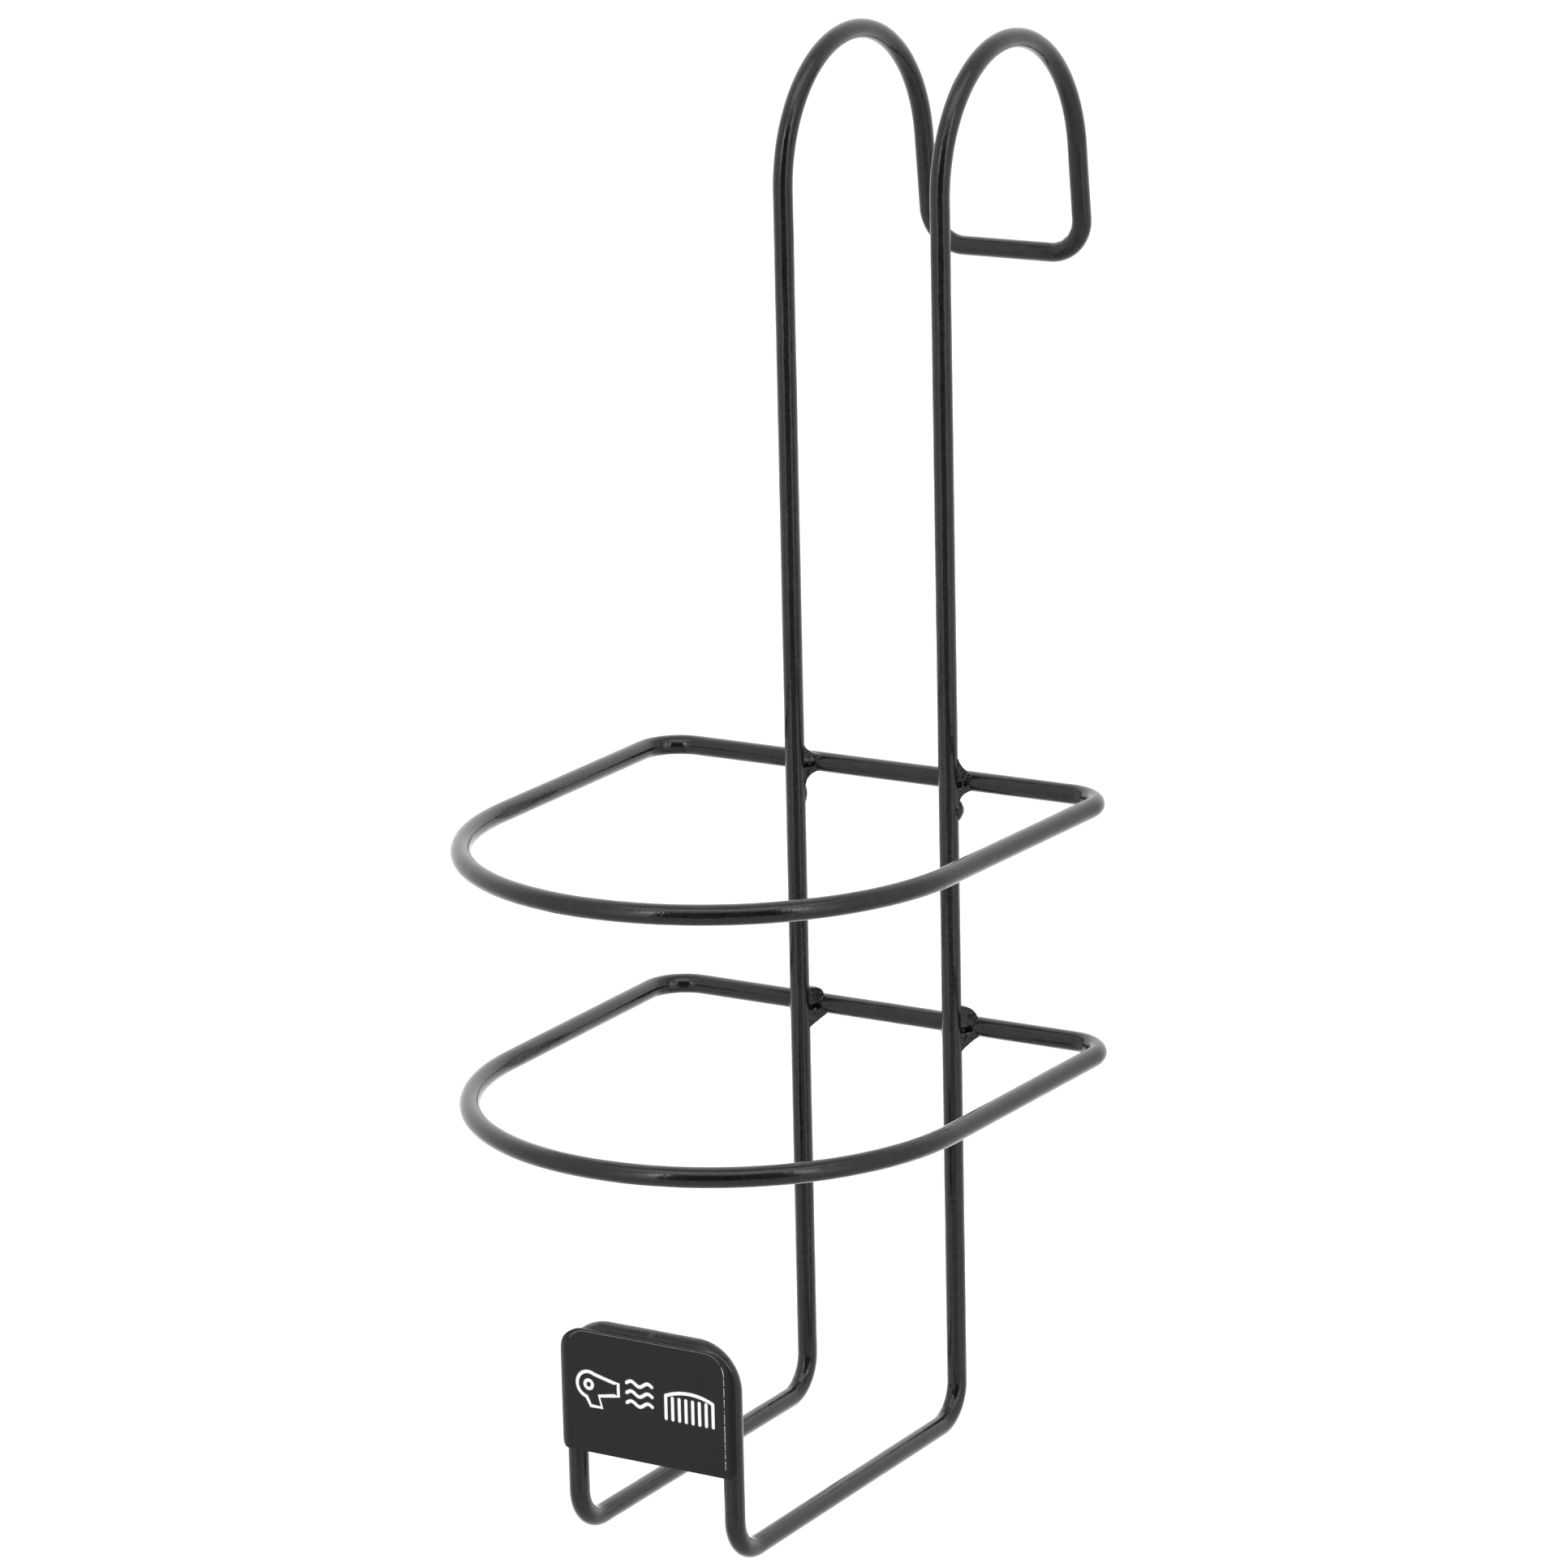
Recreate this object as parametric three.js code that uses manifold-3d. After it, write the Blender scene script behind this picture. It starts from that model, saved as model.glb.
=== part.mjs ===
// Wall or door holder bent from coated steel wire, in millimetres, +Z up.
//
// Two mirrored side wires hook over the top of a door, run down as a pair of uprights, turn forward
// as a cradle floor and rise to a front lip. Two D-shaped rings are welded behind the uprights, and a
// sheet badge plate, its two side edges curled round the wire, is tacked to the front of the lip.
//
// The origin is the hook seat: the point midway between the two hooks where the inside top of the
// hooks rests on the door's top edge. +X is across the holder, -Y is the front and +Z is up.

import * as THREE from 'three';
import Module from 'manifold-3d';
import { mergeVertices } from 'three/addons/utils/BufferGeometryUtils.js';

const wasm = await Module();
wasm.setup();

// Driving dimensions.
const WIRE_DIAMETER = 5;
const CLEARANCE = 0.3; // gap kept between pieces that touch
const RAIL_SPACING = 43.5; // between the two uprights' centrelines
const BEND_RADIUS = 9.4; // centreline radius of the tight bends
const HOOK_RADIUS = 34.7; // centreline radius of the arch over the door
const HOOK_FLARE = THREE.MathUtils.degToRad(6.3); // outward lean of the hook's back leg
const CROSSBAR_DROP = 24; // hook crossbar below the centre of the arch
const UPRIGHT_RISE = 306.5; // centre of the arch above the cradle floor
const CRADLE_DEPTH = 107; // uprights to front lip
const LIP_RISE = 51; // front lip above the cradle floor
const UPPER_RING_RISE = 163.5; // upper ring above the cradle floor
const LOWER_RING_RISE = 101; // lower ring above the cradle floor
const RING_WIDTH = 127; // across the rear bar, between centrelines
const RING_SIDE_LENGTH = 76.4; // rear bar to the start of the round front
const RING_TAPER = THREE.MathUtils.degToRad(1.2); // inward lean of each side towards the front
const RING_CORNER_RADIUS = 10;
const PLATE_HEIGHT = 30.8;
const PLATE_THICKNESS = 0.8;
const PLATE_CURL = THREE.MathUtils.degToRad(45); // how far each side edge curls round its wire
const PLATE_TOP_RADIUS = 7;
const PLATE_BOTTOM_RADIUS = 2;
const PLATE_ABOVE_LIP = 1; // plate's top edge above the lip's centreline
const RING_WELD_RADII = [4.6, 2.9, 4.9]; // half-sizes of the bead at each crossing
const TACK_WELD_RADII = [1.7, 1.3, 3.5]; // half-sizes of each bead behind the plate
const TACK_WELD_INSET = 4; // tack welds from the end of the lip wire's straight and the plate's edge
const PATH_STEP = 5; // spacing of the wire's cross-sections along its path
const WIRE_SIDES = 8;

// Derived places.
const WIRE_RADIUS = WIRE_DIAMETER / 2;
const RAIL_X = RAIL_SPACING / 2;
const UPRIGHT_Y = -HOOK_RADIUS;
const ARCH_Z = WIRE_RADIUS - HOOK_RADIUS;
const FLOOR_Z = ARCH_Z - UPRIGHT_RISE;
const CROSSBAR_Z = ARCH_Z - CROSSBAR_DROP;
const LIP_Y = UPRIGHT_Y - CRADLE_DEPTH;
const LIP_Z = FLOOR_Z + LIP_RISE;
const RING_REAR_Y = UPRIGHT_Y + WIRE_DIAMETER + CLEARANCE;
const PLATE_BACK_Y = LIP_Y - WIRE_RADIUS - CLEARANCE;
const PLATE_BOTTOM_Z = LIP_Z + PLATE_ABOVE_LIP - PLATE_HEIGHT;

const blackCoating = { color: 0x1b1b1c, roughness: 0.32, metalness: 0.0 };
const blackWeld = { color: 0x18181a, roughness: 0.4, metalness: 0.0 };
const blackPlate = { color: 0x202022, roughness: 0.45, metalness: 0.0 };

// Circular arc from a start point, about a centre, turned by angle towards a heading.
class Arc extends THREE.Curve {
  constructor(centre, start, heading, angle) {
    super();
    this.centre = centre;
    this.spoke = start.clone().sub(centre);
    this.side = heading.clone().normalize().multiplyScalar(this.spoke.length());
    this.angle = angle;
  }

  getPoint(t, target = new THREE.Vector3()) {
    const turn = t * this.angle;
    return target
      .copy(this.centre)
      .addScaledVector(this.spoke, Math.cos(turn))
      .addScaledVector(this.side, Math.sin(turn));
  }
}

// A wire's centreline, laid out the way the wire is bent: straight runs joined by tangent arcs.
class BentPath {
  constructor(start) {
    this.end = start;
    this.curve = new THREE.CurvePath();
    this.curve.arcLengthDivisions = 2000;
  }

  straightTo(point) {
    this.curve.add(new THREE.LineCurve3(this.end, point));
    this.end = point;
    return this;
  }

  // Runs straight towards corner, then turns through an arc that leaves it towards next.
  bendAt(corner, next, radius) {
    const arriving = corner.clone().sub(this.end).normalize();
    const leaving = next.clone().sub(corner).normalize();
    const angle = arriving.angleTo(leaving);
    const reach = radius * Math.tan(angle / 2);
    const arcStart = corner.clone().addScaledVector(arriving, -reach);
    const inward = leaving.clone().addScaledVector(arriving, -leaving.dot(arriving)).normalize();
    const centre = arcStart.clone().addScaledVector(inward, radius);
    this.straightTo(arcStart);
    return this.arc(centre, arriving, angle);
  }

  arc(centre, heading, angle) {
    const bend = new Arc(centre, this.end, heading, angle);
    this.curve.add(bend);
    this.end = bend.getPoint(1);
    return this;
  }
}

function wireAlong(path) {
  const section = new THREE.Shape();
  for (let i = 0; i < WIRE_SIDES; i += 1) {
    const angle = (2 * Math.PI * i) / WIRE_SIDES;
    const x = WIRE_RADIUS * Math.cos(angle);
    const y = WIRE_RADIUS * Math.sin(angle);
    if (i === 0) section.moveTo(x, y);
    else section.lineTo(x, y);
  }
  const steps = Math.round(path.curve.getLength() / PATH_STEP);
  return new THREE.ExtrudeGeometry(section, { steps, extrudePath: path.curve });
}

function part(name, geometry, finish) {
  const mesh = new THREE.Mesh(geometry, new THREE.MeshStandardMaterial(finish));
  mesh.name = name;
  return mesh;
}

function toSolid(geometry) {
  const bare = geometry.clone();
  bare.deleteAttribute('normal');
  bare.deleteAttribute('uv');
  const merged = mergeVertices(bare);
  return new wasm.Manifold(new wasm.Mesh({
    numProp: 3,
    vertProperties: new Float32Array(merged.attributes.position.array),
    triVerts: new Uint32Array(merged.index.array),
  }));
}

function toGeometry(solid) {
  const mesh = solid.getMesh();
  const geometry = new THREE.BufferGeometry();
  geometry.setAttribute('position', new THREE.BufferAttribute(mesh.vertProperties, 3));
  geometry.setIndex(new THREE.BufferAttribute(mesh.triVerts, 1));
  geometry.computeVertexNormals();
  return geometry;
}

// One side of the holder: half the hook crossbar, back leg, arch, upright, cradle floor, half the lip.
// The two sides are butted together at the middle of the crossbar and at the middle of the lip.
function sideWire(side) {
  const x = side * RAIL_X;
  const buttX = side * CLEARANCE / 2;
  const legDrop = CROSSBAR_DROP + HOOK_RADIUS * Math.sin(HOOK_FLARE);
  const legTop = new THREE.Vector3(
    x, HOOK_RADIUS * Math.cos(HOOK_FLARE), ARCH_Z + HOOK_RADIUS * Math.sin(HOOK_FLARE));
  const legFoot = new THREE.Vector3(x, legTop.y + legDrop * Math.tan(HOOK_FLARE), CROSSBAR_Z);
  const archCentre = new THREE.Vector3(x, 0, ARCH_Z);
  const legUpwards = legTop.clone().sub(legFoot);
  const heel = new THREE.Vector3(x, UPRIGHT_Y, FLOOR_Z);
  const toe = new THREE.Vector3(x, LIP_Y, FLOOR_Z);
  const lipCorner = new THREE.Vector3(x, LIP_Y, LIP_Z);
  const lipMiddle = new THREE.Vector3(buttX, LIP_Y, LIP_Z);
  const path = new BentPath(new THREE.Vector3(buttX, legFoot.y, CROSSBAR_Z))
    .bendAt(legFoot, legTop, BEND_RADIUS)
    .straightTo(legTop)
    .arc(archCentre, legUpwards, Math.PI - HOOK_FLARE)
    .bendAt(heel, toe, BEND_RADIUS)
    .bendAt(toe, lipCorner, BEND_RADIUS)
    .bendAt(lipCorner, lipMiddle, BEND_RADIUS)
    .straightTo(lipMiddle);
  return wireAlong(path);
}

// A D-shaped ring at height z: straight rear bar, two nearly parallel sides and a round front.
// Its wire's two ends are butted together at the middle of the rear bar.
function ring(z) {
  const rearX = RING_WIDTH / 2;
  const frontX = rearX - RING_SIDE_LENGTH * Math.tan(RING_TAPER);
  const frontY = RING_REAR_Y - RING_SIDE_LENGTH;
  const centre = new THREE.Vector3(0, frontY + frontX * Math.tan(RING_TAPER), z);
  const rearRight = new THREE.Vector3(rearX, RING_REAR_Y, z);
  const rearLeft = new THREE.Vector3(-rearX, RING_REAR_Y, z);
  const frontRight = new THREE.Vector3(frontX, frontY, z);
  const frontLeft = new THREE.Vector3(-frontX, frontY, z);
  const forwards = frontRight.clone().sub(rearRight);
  const lastPoint = new THREE.Vector3(-CLEARANCE / 2, RING_REAR_Y, z);
  const path = new BentPath(new THREE.Vector3(CLEARANCE / 2, RING_REAR_Y, z))
    .bendAt(rearRight, frontRight, RING_CORNER_RADIUS)
    .straightTo(frontRight)
    .arc(centre, forwards, Math.PI - 2 * RING_TAPER)
    .straightTo(frontLeft)
    .bendAt(rearLeft, lastPoint, RING_CORNER_RADIUS)
    .straightTo(lastPoint);
  return wireAlong(path);
}

function rod(radius, length, axis, centre) {
  const geometry = new THREE.CylinderGeometry(radius, radius, length, 16);
  const turn = new THREE.Quaternion().setFromUnitVectors(new THREE.Vector3(0, 1, 0), axis);
  geometry.applyQuaternion(turn);
  geometry.translate(centre.x, centre.y, centre.z);
  return toSolid(geometry);
}

function bead(radii, centre) {
  const geometry = new THREE.SphereGeometry(1, 12, 8);
  geometry.scale(...radii);
  geometry.translate(centre.x, centre.y, centre.z);
  return toSolid(geometry);
}

// Weld bead round the point where a ring's rear bar crosses behind an upright.
function ringWeld(side, z) {
  const length = 20;
  const x = side * RAIL_X;
  const upright = new THREE.Vector3(x, UPRIGHT_Y, z);
  const rearBar = new THREE.Vector3(x, RING_REAR_Y, z);
  const between = new THREE.Vector3(x, (UPRIGHT_Y + RING_REAR_Y) / 2, z);
  const room = WIRE_RADIUS + CLEARANCE;
  return toGeometry(bead(RING_WELD_RADII, between)
    .subtract(rod(room, length, new THREE.Vector3(0, 0, 1), upright))
    .subtract(rod(room, length, new THREE.Vector3(1, 0, 0), rearBar)));
}

// Tack weld in the corner between the back of the plate and the inner side of the lip wire.
function tackWeld(side, z) {
  const length = 30;
  const lipWire = new THREE.Vector3(side * RAIL_X, LIP_Y, z);
  const centre = new THREE.Vector3(
    side * (RAIL_X - WIRE_RADIUS - 0.5), PLATE_BACK_Y + CLEARANCE + TACK_WELD_RADII[1], z);
  return toGeometry(bead(TACK_WELD_RADII, centre)
    .subtract(rod(WIRE_RADIUS + CLEARANCE, length, new THREE.Vector3(0, 0, 1), lipWire)));
}

// Block with its front towards -Y, as seen from the front a rectangle with rounded corners.
function roundedBlock(width, height, depth, topRadius, bottomRadius) {
  const halfWidth = width / 2;
  const shape = new THREE.Shape();
  shape.moveTo(-halfWidth + bottomRadius, 0);
  shape.absarc(halfWidth - bottomRadius, bottomRadius, bottomRadius, -Math.PI / 2, 0);
  shape.absarc(halfWidth - topRadius, height - topRadius, topRadius, 0, Math.PI / 2);
  shape.absarc(-halfWidth + topRadius, height - topRadius, topRadius, Math.PI / 2, Math.PI);
  shape.absarc(-halfWidth + bottomRadius, bottomRadius, bottomRadius, Math.PI, 1.5 * Math.PI);
  return new THREE.ExtrudeGeometry(shape, { depth, curveSegments: 6, bevelEnabled: false })
    .rotateX(Math.PI / 2);
}

// Flat sheet in front of the lip, curled back round the lip wire along its two upright edges.
function badgePlate() {
  const inner = WIRE_RADIUS + CLEARANCE;
  const outer = inner + PLATE_THICKNESS;
  const front = -Math.PI / 2;
  const section = new THREE.Shape();
  section.moveTo(-RAIL_X, -outer);
  section.absarc(RAIL_X, 0, outer, front, front + PLATE_CURL);
  section.absarc(RAIL_X, 0, inner, front + PLATE_CURL, front, true);
  section.absarc(-RAIL_X, 0, inner, front, front - PLATE_CURL, true);
  section.absarc(-RAIL_X, 0, outer, front - PLATE_CURL, front);
  const sheet = new THREE.ExtrudeGeometry(section, {
    depth: PLATE_HEIGHT, curveSegments: 6, bevelEnabled: false,
  });
  const width = 2 * (RAIL_X + outer * Math.sin(PLATE_CURL));
  const outline = roundedBlock(
    width, PLATE_HEIGHT, 2 * outer, PLATE_TOP_RADIUS, PLATE_BOTTOM_RADIUS);
  const geometry = toGeometry(toSolid(sheet).intersect(toSolid(outline)));
  const mesh = part('badge_plate', geometry, blackPlate);
  mesh.position.set(0, LIP_Y, PLATE_BOTTOM_Z);
  return mesh;
}

const holder = new THREE.Group();
const sides = [['left', -1], ['right', 1]];
const rings = [['upper', FLOOR_Z + UPPER_RING_RISE], ['lower', FLOOR_Z + LOWER_RING_RISE]];
const tacks = [
  ['top', LIP_Z - BEND_RADIUS - TACK_WELD_INSET],
  ['bottom', PLATE_BOTTOM_Z + TACK_WELD_INSET],
];

for (const [sideName, side] of sides) {
  holder.add(part(`side_wire_${sideName}`, sideWire(side), blackCoating));
  for (const [ringName, z] of rings) {
    holder.add(part(`weld_${ringName}_ring_${sideName}`, ringWeld(side, z), blackWeld));
  }
  for (const [tackName, z] of tacks) {
    holder.add(part(`tack_weld_${tackName}_${sideName}`, tackWeld(side, z), blackWeld));
  }
}
for (const [ringName, z] of rings) {
  holder.add(part(`${ringName}_ring`, ring(z), blackCoating));
}
holder.add(badgePlate());

export default holder;
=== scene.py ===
"""Over-door holder of black coated wire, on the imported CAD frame. Metres, +Z up, front towards -Y."""

import math
import random

import bmesh
import bpy
from mathutils import Matrix, Vector, noise


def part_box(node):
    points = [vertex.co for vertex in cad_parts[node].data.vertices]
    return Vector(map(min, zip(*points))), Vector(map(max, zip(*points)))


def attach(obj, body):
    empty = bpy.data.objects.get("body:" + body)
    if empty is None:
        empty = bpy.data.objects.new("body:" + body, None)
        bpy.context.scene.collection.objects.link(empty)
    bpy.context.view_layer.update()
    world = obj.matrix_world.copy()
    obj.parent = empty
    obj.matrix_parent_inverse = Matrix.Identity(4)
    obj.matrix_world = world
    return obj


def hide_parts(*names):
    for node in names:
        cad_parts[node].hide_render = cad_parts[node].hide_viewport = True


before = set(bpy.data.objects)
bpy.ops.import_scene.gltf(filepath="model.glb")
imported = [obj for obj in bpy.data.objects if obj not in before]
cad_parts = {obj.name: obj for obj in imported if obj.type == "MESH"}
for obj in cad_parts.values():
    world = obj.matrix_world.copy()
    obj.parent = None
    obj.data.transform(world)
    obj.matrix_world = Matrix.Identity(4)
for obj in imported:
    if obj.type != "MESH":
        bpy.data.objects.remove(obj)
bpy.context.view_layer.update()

MM = 0.001

# ---------------------------------------------------------------- places, from the frame

RING_LOW, RING_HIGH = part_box("upper_ring")
LOWER_RING_LOW, LOWER_RING_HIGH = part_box("lower_ring")
SIDE_LOW, SIDE_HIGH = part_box("side_wire_right")
PLATE_LOW, PLATE_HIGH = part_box("badge_plate")

WIRE_RADIUS = (RING_HIGH[2] - RING_LOW[2]) / 2
UPPER_RING_Z = (RING_HIGH[2] + RING_LOW[2]) / 2
LOWER_RING_Z = (LOWER_RING_HIGH[2] + LOWER_RING_LOW[2]) / 2
RING_REAR_Y = RING_HIGH[1] - WIRE_RADIUS
RING_FRONT_Y = RING_LOW[1] + WIRE_RADIUS
RAIL_X = SIDE_HIGH[0] - WIRE_RADIUS
FLOOR_BAR_Z = SIDE_LOW[2] + WIRE_RADIUS
LIP_Y = SIDE_LOW[1] + WIRE_RADIUS
HOOK_TOP_Z = SIDE_HIGH[2] - WIRE_RADIUS

# Sizes that the boxes don't show, the same as in the CAD model.
CLEARANCE = 0.3 * MM
BEND_RADIUS = 9.4 * MM
HOOK_FLARE = math.radians(6.3)
CROSSBAR_DROP = 24 * MM
RING_WIDTH = 127 * MM
RING_TAPER = math.radians(1.2)
RING_CORNER_RADIUS = 10 * MM
PLATE_ABOVE_LIP = 1.0 * MM
PLATE_THICKNESS = 0.8 * MM
PLATE_TOP_RADIUS = 7 * MM
PLATE_BOTTOM_RADIUS = 2 * MM

UPRIGHT_Y = RING_REAR_Y - 2 * WIRE_RADIUS - CLEARANCE
HOOK_RADIUS = -UPRIGHT_Y
ARCH_Z = HOOK_TOP_Z - HOOK_RADIUS
CROSSBAR_Z = ARCH_Z - CROSSBAR_DROP
LIP_Z = PLATE_HIGH[2] - PLATE_ABOVE_LIP
PLATE_FRONT_Y = PLATE_LOW[1]
# A little under the wire's radius, so that waves and folds in the coating stay inside the CAD box.
COAT_RADIUS = WIRE_RADIUS - 0.05 * MM
WIRE_SIDES = 36

# ---------------------------------------------------------------- camera and light settings

CAMERA_AZIMUTH = math.radians(31.14)
CAMERA_ELEVATION = math.radians(14.86)
CAMERA_ROLL = math.radians(-1.25)
CAMERA_DISTANCE = 1.488
CAMERA_LENS = 139.1
CAMERA_SENSOR = 36
AIM = (-0.0184, -0.0457, -0.1772)

# The room's light, by direction. An "up" is the sine of the angle above the horizon, a "turn" the
# cosine of the level angle from the camera's side, and "away" how far a direction points into the scene.
ROOM_LEVELS = ((-1.0, 0.8), (-0.45, 0.85), (-0.2, 0.95), (0.0, 1.0), (0.6, 1.0), (1.0, 0.95))
BACKDROP_AWAY = (0.1, 0.7)
BACKDROP_GAINS = (
    (-1.0, 0.95), (-0.5, 0.95), (-0.32, 0.46), (0.2, 0.44), (0.5, 0.68), (0.75, 0.6), (1.0, 0.3))
STRIP_LEVELS = ((0.0, 1.0), (0.58, 1.0), (0.72, 1.45), (0.85, 1.6), (0.872, 0.12), (1.0, 0.12))
STRIP_TOP = (0.52, 0.66)
STRIP_FOOT = (-0.42, -0.17)
RIM_LEVELS = ((0.0, 0.0), (0.79, 0.0), (0.85, 0.8), (0.868, 1.0), (0.885, 0.0), (1.0, 0.0))
RIM_RISE = (0.0, 0.5, 0.5, 6.5)
RIM_TOP = (0.6, 0.72)
SOFTBOX_LEVEL = 1.5
SOFTBOX_LOW = (0.70, 0.84)
SOFTBOX_HIGH = (0.93, 0.99)
SOFTBOX_TURN = (0.2, 0.7)


# ---------------------------------------------------------------- wire paths


class Path:
    """A wire's centreline as samples (point, inward, progress).

    Inward points to the centre of a tight bend, and is None elsewhere. Progress runs from 0 to 1 in an arc.
    """

    def __init__(self, start):
        self.samples = [(Vector(start), None, 0.0)]

    @property
    def end(self):
        """Where the wire has got to."""
        return self.samples[-1][0]

    def line(self, point, step=1.6 * MM):
        """Runs straight to a point."""
        start, point = self.end.copy(), Vector(point)
        count = max(1, round((point - start).length / step))
        for i in range(1, count + 1):
            self.samples.append((start.lerp(point, i / count), None, 0.0))
        return self

    def arc(self, centre, heading, angle, step=1.2 * MM, tight=False):
        """Runs round a centre through an angle, setting out in the direction of its heading."""
        centre = Vector(centre)
        spoke = self.end - centre
        side = Vector(heading).normalized() * spoke.length
        count = max(2, round(angle * spoke.length / step))
        for i in range(1, count + 1):
            turn = angle * i / count
            point = centre + spoke * math.cos(turn) + side * math.sin(turn)
            inward = (centre - point).normalized() if tight else None
            self.samples.append((point, inward, i / count))
        return self

    def bend(self, corner, towards, radius):
        """Runs to the corner and turns there through a tight arc towards another point."""
        corner, towards = Vector(corner), Vector(towards)
        arriving = (corner - self.end).normalized()
        leaving = (towards - corner).normalized()
        angle = arriving.angle(leaving)
        reach = radius * math.tan(angle / 2)
        start = corner - arriving * reach
        inward = (leaving - arriving * leaving.dot(arriving)).normalized()
        self.line(start)
        return self.arc(start + inward * radius, arriving, angle, step=0.6 * MM, tight=True)


def frame_path():
    """The closed loop of both side wires, from the lip's middle down the left side and back up the right."""
    leg_top_y = HOOK_RADIUS * math.cos(HOOK_FLARE)
    leg_top_z = ARCH_Z + HOOK_RADIUS * math.sin(HOOK_FLARE)
    leg_foot_y = leg_top_y + (leg_top_z - CROSSBAR_Z) * math.tan(HOOK_FLARE)
    flare = Vector((0, leg_foot_y - leg_top_y, CROSSBAR_Z - leg_top_z))
    right, left = RAIL_X, -RAIL_X

    path = Path((0, LIP_Y, LIP_Z))
    path.bend((left, LIP_Y, LIP_Z), (left, LIP_Y, FLOOR_BAR_Z), BEND_RADIUS)
    path.bend((left, LIP_Y, FLOOR_BAR_Z), (left, UPRIGHT_Y, FLOOR_BAR_Z), BEND_RADIUS)
    path.bend((left, UPRIGHT_Y, FLOOR_BAR_Z), (left, UPRIGHT_Y, ARCH_Z), BEND_RADIUS)
    path.line((left, UPRIGHT_Y, ARCH_Z))
    path.arc((left, 0, ARCH_Z), (0, 0, 1), math.pi - HOOK_FLARE)
    path.bend((left, leg_foot_y, CROSSBAR_Z), (0, leg_foot_y, CROSSBAR_Z), BEND_RADIUS)
    path.bend((right, leg_foot_y, CROSSBAR_Z), (right, leg_top_y, leg_top_z), BEND_RADIUS)
    path.line((right, leg_top_y, leg_top_z))
    path.arc((right, 0, ARCH_Z), -flare, math.pi - HOOK_FLARE)
    path.bend((right, UPRIGHT_Y, FLOOR_BAR_Z), (right, LIP_Y, FLOOR_BAR_Z), BEND_RADIUS)
    path.bend((right, LIP_Y, FLOOR_BAR_Z), (right, LIP_Y, LIP_Z), BEND_RADIUS)
    path.bend((right, LIP_Y, LIP_Z), (left, LIP_Y, LIP_Z), BEND_RADIUS)
    return path.line((0, LIP_Y, LIP_Z))


def ring_path(z):
    """The closed D of one ring, from its right weld: side, round front, side and straight rear bar."""
    rear_x = RING_WIDTH / 2
    slope = math.tan(RING_TAPER)
    # The round front is tangent to both sides, so its depth is front_x times this.
    roundness = 1 / math.cos(RING_TAPER) - slope
    depth = RING_REAR_Y - RING_FRONT_Y
    side_length = (depth - rear_x * roundness) / (1 - slope * roundness)
    front_x = rear_x - side_length * slope
    front_y = RING_REAR_Y - side_length
    centre = (0, front_y + front_x * slope, z)

    path = Path((RAIL_X, RING_REAR_Y, z))
    path.bend((rear_x, RING_REAR_Y, z), (front_x, front_y, z), RING_CORNER_RADIUS)
    path.line((front_x, front_y, z))
    path.arc(centre, (front_x - rear_x, -side_length, 0), math.pi - 2 * RING_TAPER)
    path.bend((-rear_x, RING_REAR_Y, z), (0, RING_REAR_Y, z), RING_CORNER_RADIUS)
    return path.line((RAIL_X, RING_REAR_Y, z))


# ---------------------------------------------------------------- mesh helpers


def piece(name, mesh, material, slot_name, *nodes):
    """Adds a finished piece to the scene: smooth, with its material, riding on the body."""
    mesh.name = name
    for polygon in mesh.polygons:
        polygon.use_smooth = True
    mesh.materials.clear()
    mesh.materials.append(material)
    made = bpy.data.objects.new(name, mesh)
    bpy.context.scene.collection.objects.link(made)
    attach(made, "root")
    if nodes:
        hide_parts(*nodes)
    return made


def mesh_from(vertices, faces):
    """A new mesh of these vertices and faces."""
    mesh = bpy.data.meshes.new("mesh")
    mesh.from_pydata(vertices, [], faces)
    mesh.update()
    return mesh


FOLD_HEIGHT = 0.12 * MM
FOLD_COUNT = 4.5


def ripple(inward, progress, outward):
    """Height of the coating's small folds on the inner side of a tight bend."""
    facing = max(0.0, outward.dot(inward))
    envelope = math.sin(math.pi * min(1.0, progress)) ** 2
    fold = 0.5 + 0.5 * math.cos(2 * math.pi * FOLD_COUNT * progress)
    return FOLD_HEIGHT * facing**3 * envelope * fold


def coat_radius(point, inward, progress, outward):
    """Radius of the coated wire at one spot: nearly round, with slow waves and folds in the bends."""
    spot = point + outward * WIRE_RADIUS
    slow = noise.noise(spot * 110.0)
    fine = noise.noise(spot * 300.0 + Vector((7.1, 3.3, 5.9)))
    radius = COAT_RADIUS + 0.022 * MM * slow + 0.014 * MM * fine
    if inward is not None:
        radius += ripple(inward, progress, outward)
    return radius


def carried_axes(tangents):
    """One (across, up) pair per tangent of a closed loop, turning as little as they can and meeting."""
    count = len(tangents)
    normals = [tangents[0].orthogonal().normalized()]
    for i in range(1, count + 1):
        tangent = tangents[i % count]
        carried = normals[-1] - tangent * normals[-1].dot(tangent)
        normals.append(carried.normalized())
    start_side = tangents[0].cross(normals[0])
    twist = math.atan2(normals[count].dot(start_side), normals[count].dot(normals[0]))
    axes = []
    for i, tangent in enumerate(tangents):
        across = Matrix.Rotation(-twist * i / count, 3, tangent) @ normals[i]
        axes.append((across, tangent.cross(across)))
    return axes


def tube_faces(count, sides):
    """Faces of a closed tube of count rings, each of so many vertices."""
    faces = []
    for i in range(count):
        here, there = i * sides, ((i + 1) % count) * sides
        for k in range(sides):
            turn = (k + 1) % sides
            faces.append((here + k, there + k, there + turn, here + turn))
    return faces


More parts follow.
